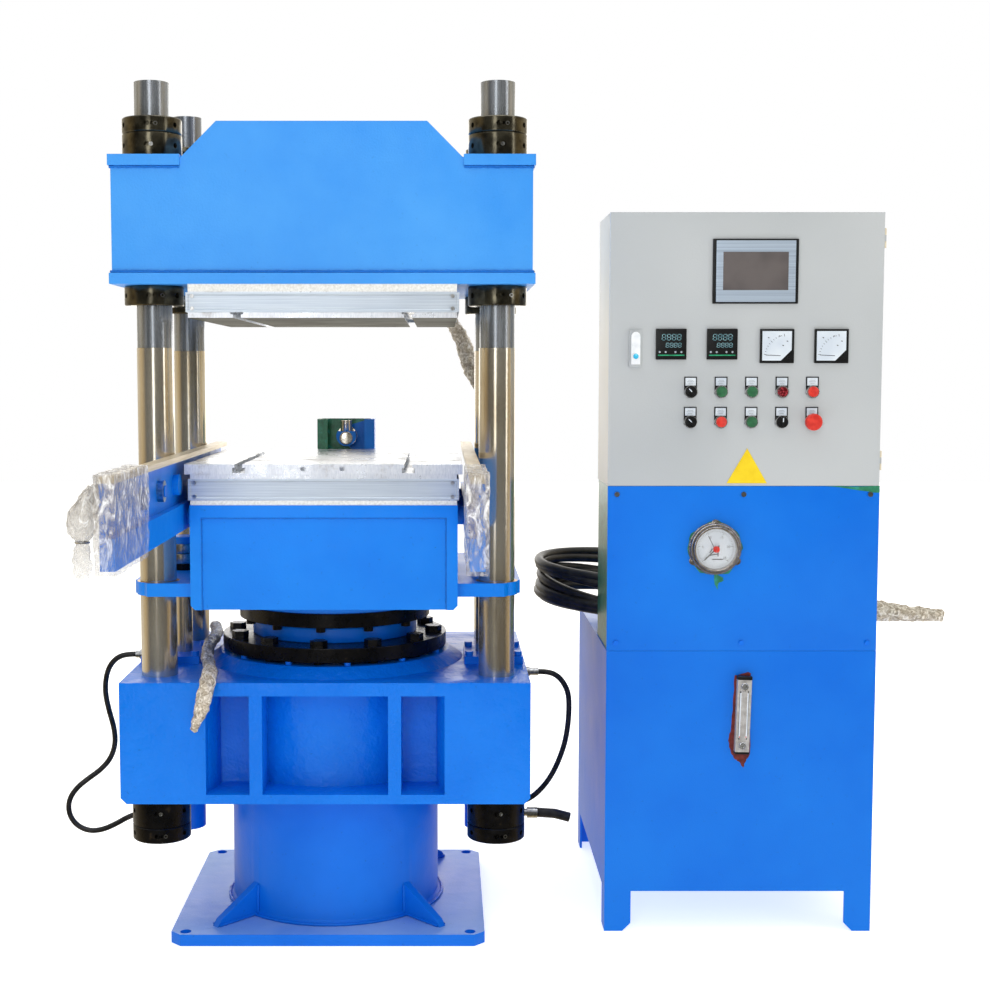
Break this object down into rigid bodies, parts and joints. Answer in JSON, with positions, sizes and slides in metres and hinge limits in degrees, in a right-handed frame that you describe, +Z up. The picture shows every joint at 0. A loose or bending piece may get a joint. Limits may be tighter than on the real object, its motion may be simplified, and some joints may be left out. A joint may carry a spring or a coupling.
{
  "type": "rubber mold vulcanizer",
  "caption": "Four-column upstroke hydraulic press with heated platens and mould rails, for vulcanising rubber moulds, with its free-standing oil tank and control cabinet.",
  "frame": {"origin": "on the floor, at the centre of the press's base bolt pattern", "axes": "+Z up, +X to the operator's right, towards the cabinet, -Y towards the operator"},
  "size_m": [2.2752, 1.597, 2.017],
  "materials": {
    "frame_blue_paint": "glossy sprayed enamel over filler",
    "cast_blue_paint": "glossy enamel over a rough casting",
    "cabinet_blue_paint": "glossy sprayed enamel on sheet",
    "box_grey_paint": "fine-textured powder coat",
    "black_oxide_steel": "blackened, oiled steel",
    "chrome_plating": "hard chrome, ground",
    "cylinder_steel": "turned steel",
    "guide_bronze": "turned bronze",
    "plate_steel": "ground plate with rust marks",
    "guard_sheet": "bright folded sheet",
    "insulation_board": "pressed fibre board",
    "bolt_steel": "zinc-plated bolts",
    "roller_steel": "turned steel",
    "packing_film": "clear stretch film, crumpled",
    "hose_rubber": "black hydraulic hose",
    "fitting_steel": "nickel-plated fittings",
    "puller_paint": "old green enamel with blue overspray",
    "switchgear_plastic": "moulded plastic",
    "pump_paint": "grey enamel",
    "gauge_case_steel": "bright steel bezel",
    "pointer_black": "black lacquered pointer",
    "red_plastic": "red moulded plastic",
    "green_plastic": "green moulded plastic",
    "black_plastic": "black moulded plastic",
    "screen_plastic": "silver-grey bezel with a dark screen",
    "white_plastic": "white moulded plastic",
    "level_gauge_plastic": "clear tube in a pale frame"
  },
  "bodies": {
    "frame": {"base_pedestal": "frame_blue_paint", "lower_beam": "cast_blue_paint", "main_cylinder": "cylinder_steel", "gland_ring": "black_oxide_steel", "columns": "chrome_plating", "column_nuts": "black_oxide_steel", "upper_beam": "frame_blue_paint", "upper_insulation_board": "insulation_board", "upper_heating_plate": "plate_steel", "upper_heater_guard": "guard_sheet", "side_cylinders": "frame_blue_paint", "frame_bolts": "bolt_steel", "oil_tank": "cabinet_blue_paint", "middle_frame": "cabinet_blue_paint", "front_panel": "cabinet_blue_paint", "electrical_box": "box_grey_paint", "switchgear": "switchgear_plastic", "pump_unit": "pump_paint", "level_gauge": "level_gauge_plastic", "gauge_case": "gauge_case_steel", "hose_right": "hose_rubber", "hose_left": "hose_rubber", "hose_coil": "hose_rubber", "cable_tail_left": "packing_film", "cable_tail_upper": "packing_film", "cable_tail_side": "packing_film", "hose_fittings": "fitting_steel"},
    "platform": {"ram": "chrome_plating", "ram_flange_ring": "black_oxide_steel", "platform_table": "frame_blue_paint", "guide_bushes": "guide_bronze", "lower_insulation_board": "insulation_board", "lower_heating_plate": "plate_steel", "lower_clamp_plate": "plate_steel", "lower_heater_guard": "guard_sheet", "platform_bolts": "bolt_steel", "side_rods": "chrome_plating", "feed_rails": "frame_blue_paint", "rail_films": "packing_film", "mould_puller": "puller_paint"},
    "door": {"cabinet_door": "box_grey_paint", "touch_panel": "screen_plastic", "panel_meters": "black_plastic", "button_collars": "black_plastic"},
    "roller_left_front": {"roller_left_front": "roller_steel"},
    "roller_left_rear": {"roller_left_rear": "roller_steel"},
    "roller_right_front": {"roller_right_front": "roller_steel"},
    "roller_right_rear": {"roller_right_rear": "roller_steel"},
    "selector_upper": {"selector_upper": "black_plastic"},
    "selector_lower": {"selector_lower": "black_plastic"},
    "selector_three_way": {"selector_three_way": "black_plastic"},
    "start_button_upper": {"start_button_upper": "green_plastic"},
    "start_button_middle": {"start_button_middle": "green_plastic"},
    "start_button_lower": {"start_button_lower": "green_plastic"},
    "stop_button_upper": {"stop_button_upper": "red_plastic"},
    "stop_button_lower": {"stop_button_lower": "red_plastic"},
    "emergency_stop": {"emergency_stop": "red_plastic"},
    "lock_handle": {"lock_handle": "white_plastic"},
    "gauge_pointer": {"gauge_pointer": "pointer_black"},
    "gauge_knob": {"gauge_knob": "red_plastic"}
  },
  "joints": [
    {"name": "table_lift", "type": "slide", "parent": "frame", "child": "platform", "axis": [0, 0, 1], "range_m": [0, 0.3]},
    {"name": "door_hinge", "type": "hinge", "parent": "frame", "child": "door", "pos_m": [1.3117, -0.212, 1.4], "axis": [0, 0, 1], "range_deg": [0, 110]},
    {"name": "roller_left_front_spin", "type": "hinge", "parent": "platform", "child": "roller_left_front", "pos_m": [-0.3306, -0.76, 1.097], "axis": [1, 0, 0], "continuous": true},
    {"name": "roller_left_rear_spin", "type": "hinge", "parent": "platform", "child": "roller_left_rear", "pos_m": [-0.3306, -0.57, 1.097], "axis": [1, 0, 0], "continuous": true},
    {"name": "roller_right_front_spin", "type": "hinge", "parent": "platform", "child": "roller_right_front", "pos_m": [0.3306, -0.76, 1.097], "axis": [1, 0, 0], "continuous": true},
    {"name": "roller_right_rear_spin", "type": "hinge", "parent": "platform", "child": "roller_right_rear", "pos_m": [0.3306, -0.57, 1.097], "axis": [1, 0, 0], "continuous": true},
    {"name": "start_button_upper_press", "type": "slide", "parent": "door", "child": "start_button_upper", "axis": [0, 1, 0], "range_m": [0, 0.003], "stiffness_N_per_m": 900, "springref_m": -0.002},
    {"name": "start_button_middle_press", "type": "slide", "parent": "door", "child": "start_button_middle", "axis": [0, 1, 0], "range_m": [0, 0.003], "stiffness_N_per_m": 900, "springref_m": -0.002},
    {"name": "stop_button_upper_press", "type": "slide", "parent": "door", "child": "stop_button_upper", "axis": [0, 1, 0], "range_m": [0, 0.003], "stiffness_N_per_m": 900, "springref_m": -0.002},
    {"name": "stop_button_lower_press", "type": "slide", "parent": "door", "child": "stop_button_lower", "axis": [0, 1, 0], "range_m": [0, 0.003], "stiffness_N_per_m": 900, "springref_m": -0.002},
    {"name": "start_button_lower_press", "type": "slide", "parent": "door", "child": "start_button_lower", "axis": [0, 1, 0], "range_m": [0, 0.003], "stiffness_N_per_m": 900, "springref_m": -0.002},
    {"name": "emergency_stop_press", "type": "slide", "parent": "door", "child": "emergency_stop", "axis": [0, 1, 0], "range_m": [0, 0.005]},
    {"name": "selector_upper_turn", "type": "hinge", "parent": "door", "child": "selector_upper", "pos_m": [0.857, -0.23, 1.306], "axis": [0, 1, 0], "range_deg": [0, 90]},
    {"name": "selector_lower_turn", "type": "hinge", "parent": "door", "child": "selector_lower", "pos_m": [0.857, -0.23, 1.235], "axis": [0, 1, 0], "range_deg": [0, 90]},
    {"name": "selector_three_way_turn", "type": "hinge", "parent": "door", "child": "selector_three_way", "pos_m": [1.0724, -0.23, 1.235], "axis": [0, 1, 0], "range_deg": [-45, 45]},
    {"name": "lock_handle_turn", "type": "hinge", "parent": "door", "child": "lock_handle", "pos_m": [0.7255, -0.23, 1.4355], "axis": [0, 1, 0], "range_deg": [0, 90]},
    {"name": "gauge_pointer_turn", "type": "hinge", "parent": "frame", "child": "gauge_pointer", "pos_m": [0.92, -0.238, 0.934], "axis": [0, 1, 0], "range_deg": [0, 270], "stiffness_Nm_per_rad": 0.002, "springref_deg": -11.46},
    {"name": "gauge_knob_turn", "type": "hinge", "parent": "frame", "child": "gauge_knob", "pos_m": [0.92, -0.245, 0.934], "axis": [0, 1, 0], "range_deg": [-135, 135]}
  ]
}
